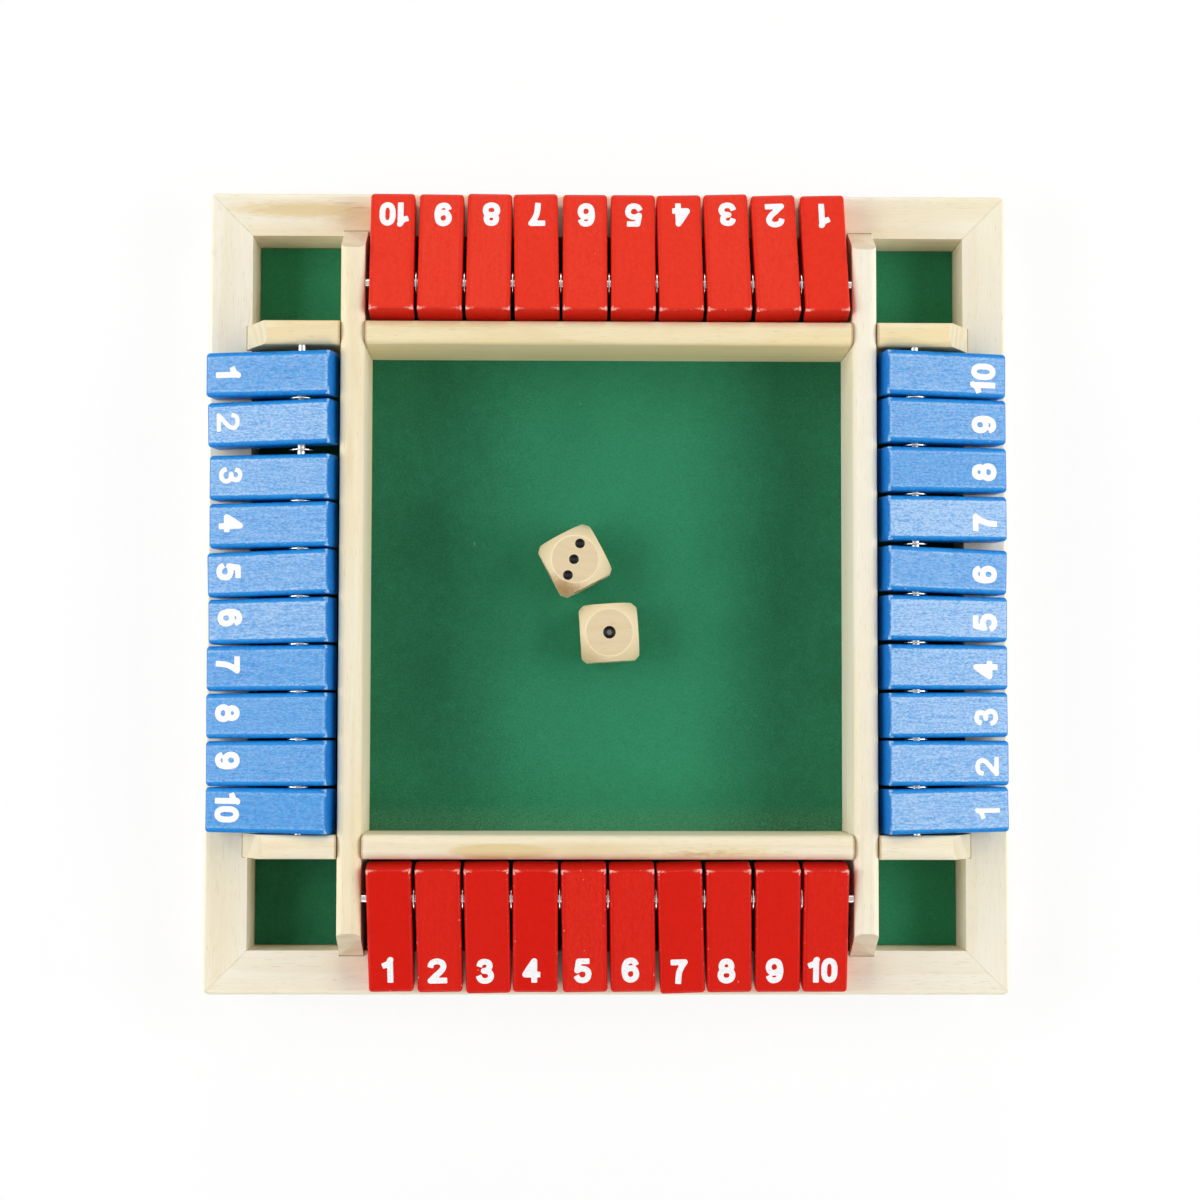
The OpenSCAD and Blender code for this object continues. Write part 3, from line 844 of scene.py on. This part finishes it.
# mm; ring is how wide the flat faces are where the turned corners begin
dieShape = {"round": 1.25, "ring": 13.4, "pitch": 3.3, "pip": 2.7, "ace": 3.5, "dip": 0.5, "step": 0.9}
dieTones = {"pale": tone(227, 208, 171), "late": tone(216, 188, 142), "ray": tone(198, 160, 112),
            "end": tone(180, 130, 72), "turned": tone(246, 225, 182), "pip": tone(6, 6, 7),
            "ringHighlight": tone(255, 246, 226)}
dieWear = {"turnedFrom": (0.3, 0.05), "ringHighlightAt": 0.12, "ringHighlight": (0.16, 0.04), "stainAndShade": (8.0, 8.5, 8.0)}
pipSpots = {1: [(0, 0)], 2: [(1, 1), (-1, -1)], 3: [(0, 0), (1, 1), (-1, -1)],
            4: [(1, 1), (-1, -1), (1, -1), (-1, 1)], 5: [(0, 0), (1, 1), (-1, -1), (1, -1), (-1, 1)],
            6: [(1, 1), (-1, -1), (1, -1), (-1, 1), (1, 0), (-1, 0)]}
# which way each number's face is turned from the top
pipFaces = {1: ("X", 0), 6: ("X", 180), 2: ("X", 90), 5: ("X", -90), 3: ("Y", 90), 4: ("Y", -90)}
# pips are hand drilled, so a pattern can sit askew (degrees) and off centre (mm)
dice = {"die_three_up": {"up": 3, "seed": 3.0, "corner": (7.5, -7.5, 7.5), "stainAndShade": 0.95, "askew": -3.5,
                         "off": (-0.28, 0.1), "glint": tone(50, 50, 52)},
        "die_one_up": {"up": 1, "seed": 8.0, "corner": (-8.0, -8.5, 6.5), "stainAndShade": 0.3, "askew": 0,
                       "off": (0, 0), "glint": tone(118, 114, 112)}}


def dieWood(name, look, half):
    material, tree, shader = newMaterial(name, Specular_IOR_Level=0.4)
    place = placeInMm(tree)
    grain = use(tree, woodGrain, {
        "Place": place, "Seed": look["seed"], "Pith": (0, 22, -18), "Ring": 2.4, "Wander": 2.5})
    colour = laid(tree, dieTones["pale"], dieTones["late"], grain["Late"], 0.34)
    colour = laid(tree, colour, dieTones["late"], rise(tree, grain["Fibre"], 0.45, 0.8), 0.3)
    colour = laid(tree, colour, dieTones["ray"], grain["Pores"], 0.4)
    # the turned corners are painted paler than the flats, painted light that makes up for their facing away
    # from the lamps, and one of them is stained
    ringAt = math.hypot(half, dieShape["ring"] / 2)
    fromMiddle = vectors(tree, "LENGTH", place)
    turned = rise(tree, fromMiddle, *(ringAt - before for before in dieWear["turnedFrom"]))
    colour = laid(tree, colour, dieTones["turned"], turned, 0.75)
    stainAndShade = {"Place": place, "Centre": look["corner"], "Size": dieWear["stainAndShade"], "Ragged": 0.5, "Soft": 0.7}
    dark = times(tree, use(tree, placedMark, stainAndShade)["Mask"], spread(tree, turned, 0.15, 1))
    colour = laid(tree, colour, dieTones["end"], dark, look["stainAndShade"])
    # a thin pale ring is laid where each flat face ends: a painted highlight on the edge of the turning
    fromRing = sums(tree, "ABSOLUTE", sums(tree, "SUBTRACT", fromMiddle, ringAt - dieWear["ringHighlightAt"]))
    shine = spread(tree, grain["Blotch"], 0.2, 0.5)
    ringHighlight = times(tree, rise(tree, fromRing, *dieWear["ringHighlight"]), shine)
    colour = mixed(tree, ringHighlight, colour, dieTones["ringHighlight"])
    coat(tree, shader, colour, spread(tree, grain["Fibre"], 0.3, 0.48))
    bump(tree, shader, grain["Fibre"], 0.3, 0.04)
    return material


def pipPaint(name, glint):
    material, tree, shader = newMaterial(name, Specular_IOR_Level=0.12)
    place = placeInMm(tree)
    # painted highlight in each hollow where it faces straight out
    leans = parts(tree, vectors(tree, "ABSOLUTE", put(tree, "TexCoord").outputs["Normal"]))
    straight = sums(tree, "MAXIMUM", sums(tree, "MAXIMUM", leans[0], leans[1]), leans[2])
    straight = sums(tree, "ADD", straight, spread(tree, cloud(tree, place, 3.0, 2.0), -0.012, 0.012))
    colour = mixed(tree, rise(tree, straight, 0.955, 0.995), dieTones["pip"], glint)
    coat(tree, shader, colour, spread(tree, cloud(tree, place, 1.5, 2.0), 0.14, 0.3))
    return material


def makeDice():
    s = dieShape
    for name, look in dice.items():
        low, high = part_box(name)
        half = (high.z - low.z) / 2 / mm
        lines = easedLines(-half, half, s["round"], s["round"], s["step"])
        bm = gridBox(lines, lines, lines)
        roundOff(bm, (-half,) * 3, (half,) * 3, (s["round"],) * 3, (s["round"],) * 3)
        die = newPiece(name.replace("die_", "dice_"), bm)
        ball = bmesh.new()
        ringAt = math.hypot(half, s["ring"] / 2)
        bmesh.ops.create_uvsphere(ball, u_segments=128, v_segments=64, radius=ringAt)
        cut(die, newPiece("turning", ball), "INTERSECT")
        die.data.materials.append(dieWood("beech." + name, look, half))
        die.data.materials.append(pipPaint("pipPaint." + name, look["glint"]))
        drills = bmesh.new()
        for number, (axis, turn) in pipFaces.items():
            wide = s["ace"] if number == 1 else s["pip"]
            ballSize = (wide ** 2 / 4 + s["dip"] ** 2) / (2 * s["dip"])
            turned = Matrix.Rotation(math.radians(turn), 4, axis)
            if number == look["up"]:
                turned = turned @ Matrix.Translation((*look["off"], 0))
                turned = turned @ Matrix.Rotation(math.radians(look["askew"]), 4, "Z")
            for x, y in pipSpots[number]:
                spot = Vector((x * s["pitch"], y * s["pitch"], half - s["dip"] + ballSize))
                bmesh.ops.create_icosphere(drills, subdivisions=4, radius=ballSize,
                                           matrix=turned @ Matrix.Translation(spot))
        tool = newPiece("pipDrills", drills)
        for material in die.data.materials:
            tool.data.materials.append(material)
        for face in tool.data.polygons:
            face.material_index = 1
        cut(die, tool)
        die.data.transform(Matrix.Scale(mm, 4))
        smoothFaces(die.data, creases["die"])
        side = facing(nodes[name].data, Vector((1, 0, 0)), 0.7)
        stand = Matrix.Translation((low + high) / 2) @ Matrix.Rotation(math.atan2(side.y, side.x), 4, "Z")
        upturn = pipFaces[look["up"]]
        die.matrix_world = stand @ Matrix.Rotation(math.radians(-upturn[1]), 4, upturn[0])
        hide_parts(name)
        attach(die, name)
    print("dice done")


# ---- felt

feltShape = {"cells": 150, "dimple": 0.07, "rim": 0.5, "skin": 0.1}  # how many across; mm
feltTones = {"green": tone(46, 124, 90), "shade": tone(34, 98, 68), "light": tone(64, 170, 125),
             "lint": tone(140, 176, 140), "sheen": tone(120, 190, 150)}
# the middle is painted lighter, partly wear and partly painted light where the dividers cast no shadow, and
# the back right corner is painted shade
feltMarks = [((4, -6, 0), (52, 130, 90), "light", 0.46, 0.1, 0.75),
             ((64, 66, 0), (30, 26, 90), "shade", 0.5, 0.1, 0.9)]
# where the corner pits begin, which of them get painted light, and where lint gathers by the front divider,
# in mm
feltPlaces = {"pits": (69, 72), "litPits": (-150, -80), "lintFrom": (-57.5, -64.5), "lintTo": (-71, -68)}
feltLint = {"Seed": 2.0, "Cell": 6.0, "Share": 0.14, "Grain": 0.05}


def feltMaterial():
    at = feltPlaces
    material, tree, shader = newMaterial("feltNap", Specular_IOR_Level=0.12, Sheen_Weight=0.08,
                                         Sheen_Roughness=0.5, Sheen_Tint=feltTones["sheen"])
    place = placeInMm(tree)
    x, y = parts(tree, place)[:2]
    clouds = cloud(tree, place, 0.05, 3.0, 0.55)
    colour = mixed(tree, spread(tree, clouds, 0.0, 1.3), feltTones["shade"], feltTones["green"])
    matted = rise(tree, cloud(tree, place, 0.3, 3.0, 0.6), 0.62, 0.35)
    colour = laid(tree, colour, feltTones["shade"], matted, 0.3)
    colour = marked(tree, colour, place, feltMarks, feltTones)
    # painted light: three of the corner pits are laid lighter, and the front left one stays the darkest
    paintedLightInPits = times(tree, rise(tree, sums(tree, "ABSOLUTE", x), *at["pits"]),
                  rise(tree, sums(tree, "ABSOLUTE", y), *at["pits"]))
    paintedLightInPits = times(tree, paintedLightInPits, rise(tree, sums(tree, "ADD", x, y), *at["litPits"]))
    colour = laid(tree, colour, feltTones["light"], paintedLightInPits, 0.45)
    bent = vectors(tree, "ADD", place, scaled(tree, cloud(tree, place, 0.5, 2.0, colour=True), 2.0))
    nap = cloud(tree, bent, 2.2, 4.0, 0.7)
    colour = laid(tree, colour, feltTones["light"], rise(tree, nap, 0.45, 0.75), 0.32)
    colour = laid(tree, colour, feltTones["shade"], rise(tree, nap, 0.55, 0.3), 0.4)
    specks = use(tree, dust, {"Place": stretched(tree, place, (1.0, 0.35, 1.0)), **feltLint})["Mask"]
    colour = laid(tree, colour, feltTones["lint"], specks, 0.5)
    front = times(tree, rise(tree, y, *at["lintFrom"]), rise(tree, y, *at["lintTo"]))
    front = times(tree, front, rise(tree, nap, 0.25, 0.8))
    colour = laid(tree, colour, feltTones["lint"], front, 0.24)
    coat(tree, shader, colour, spread(tree, nap, 0.85, 1.0))
    bump(tree, shader, nap, 0.6, 0.25)
    return material


def makeFelt():
    low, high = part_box("felt_sheet")
    count = feltShape["cells"]
    xs, ys = (np.linspace(low[n], high[n], count + 1) for n in range(2))
    bm = gridBox(xs, ys, (low.z, high.z))
    for vert in bm.verts:
        fromRim = min(vert.co.x - low.x, high.x - vert.co.x, vert.co.y - low.y, high.y - vert.co.y)
        if vert.co.z > low.z + feltShape["skin"] * mm and fromRim > feltShape["rim"] * mm:
            ripple = noise.noise(Vector((vert.co.x, vert.co.y, 0)) / mm * 0.12)
            vert.co.z -= feltShape["dimple"] * mm * (0.5 + 0.5 * ripple)
    felt = newPiece("felt", bm)
    smoothFaces(felt.data, creases["felt"])
    felt.data.materials.append(feltMaterial())
    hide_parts("felt_sheet")
    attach(felt, "tray")
    print("felt done")


# ---- floor, light and camera

# lamps: place, width, height and power, in metres and watts
studio = {"worldLight": 0.17, "floorGlow": 0.8, "floorReach": 3.0, "floorLap": 0.0005,
          "lamps": {"leftSoftbox": ((-0.73, 0.05, 0.70), 1.1, 0.40, 4.8),
                    "rightSoftbox": ((0.73, 0.05, 0.70), 1.1, 0.40, 4.8),
                    "leftLow": ((-1.0, 0.0, 0.29), 0.4, 0.4, 4.1),
                    "rightLow": ((1.0, 0.0, 0.29), 0.4, 0.4, 4.1),
                    "frontLow": ((0.0, -1.0, 0.29), 0.4, 0.4, 2.3),
                    "backLow": ((0.0, 1.0, 0.29), 0.4, 0.4, 2.9),
                    "below": ((0.0, 0.0, -0.9), 1.2, 1.2, 10.0)}}  # only reaches the underside
# metres, radians, mm
view = {"place": (-0.01235, -0.03765, 0.6845), "turn": (0.053, -0.0155, 0.002), "lens": 72.75, "film": 36}


def seenDirectly(tree):
    rays = put(tree, "LightPath").outputs
    either = sums(tree, "MAXIMUM", rays["Is Camera Ray"], rays["Is Glossy Ray"])
    return sums(tree, "MAXIMUM", either, rays["Is Transmission Ray"])


def makeStudio():
    world = bpy.data.worlds.new("studio")
    world.use_nodes = True
    bpy.context.scene.world = world
    tree = world.node_tree
    back = tree.nodes["Background"]
    back.inputs["Color"].default_value = (1, 1, 1, 1)
    tree.links.new(spread(tree, seenDirectly(tree), studio["worldLight"], 1.0), back.inputs["Strength"])
    # the floor is open right under the tray, so that the underside can be seen
    bm = bmesh.new()
    corners = ((-1, -1), (1, -1), (1, 1), (-1, 1))
    outer, inner = ([bm.verts.new((x * reach, y * reach, 0)) for x, y in corners]
                    for reach in (studio["floorReach"], cadHigh.x - studio["floorLap"]))
    for k in range(4):
        bm.faces.new((outer[k - 1], outer[k], inner[k], inner[k - 1]))
    floor = newPiece("floor", bm)
    material, tree, shader = newMaterial("whiteFloor", Roughness=0.9, Specular_IOR_Level=0.0)
    paper = cloud(tree, put(tree, "TexCoord").outputs["Object"], 9.0, 2.0)
    colour = mixed(tree, paper, tone(248, 248, 248), tone(252, 252, 252))
    tree.links.new(colour, shader.inputs["Base Color"])
    glow = put(tree, "Emission", {"Color": (1, 1, 1, 1), "Strength": 1.0}).outputs[0]
    amount = times(tree, seenDirectly(tree), studio["floorGlow"])
    lit = put(tree, "MixShader", {0: amount, 1: shader.outputs[0], 2: glow}).outputs[0]
    tree.links.new(lit, tree.nodes["Material Output"].inputs["Surface"])
    floor.data.materials.append(material)
    for name, (place, wide, tall, power) in studio["lamps"].items():
        data = bpy.data.lights.new(name, "AREA")
        data.shape, data.size, data.size_y, data.energy = "RECTANGLE", wide, tall, power
        lamp = newObject(name, data)
        lamp.location = place
        lamp.rotation_euler = (-Vector(place)).to_track_quat("-Z", "Y").to_euler()


def makeCamera():
    data = bpy.data.cameras.new("photoView")
    data.lens, data.sensor_width, data.clip_start = view["lens"], view["film"], 0.01
    camera = newObject("photoView", data)
    camera.location, camera.rotation_euler = view["place"], view["turn"]
    bpy.context.scene.camera = camera
    bpy.context.scene.view_settings.view_transform = "Standard"


finishPine()
finishMetalAndBase()
makeTiles()
makeDice()
makeFelt()
makeStudio()
makeCamera()
print("scene done")
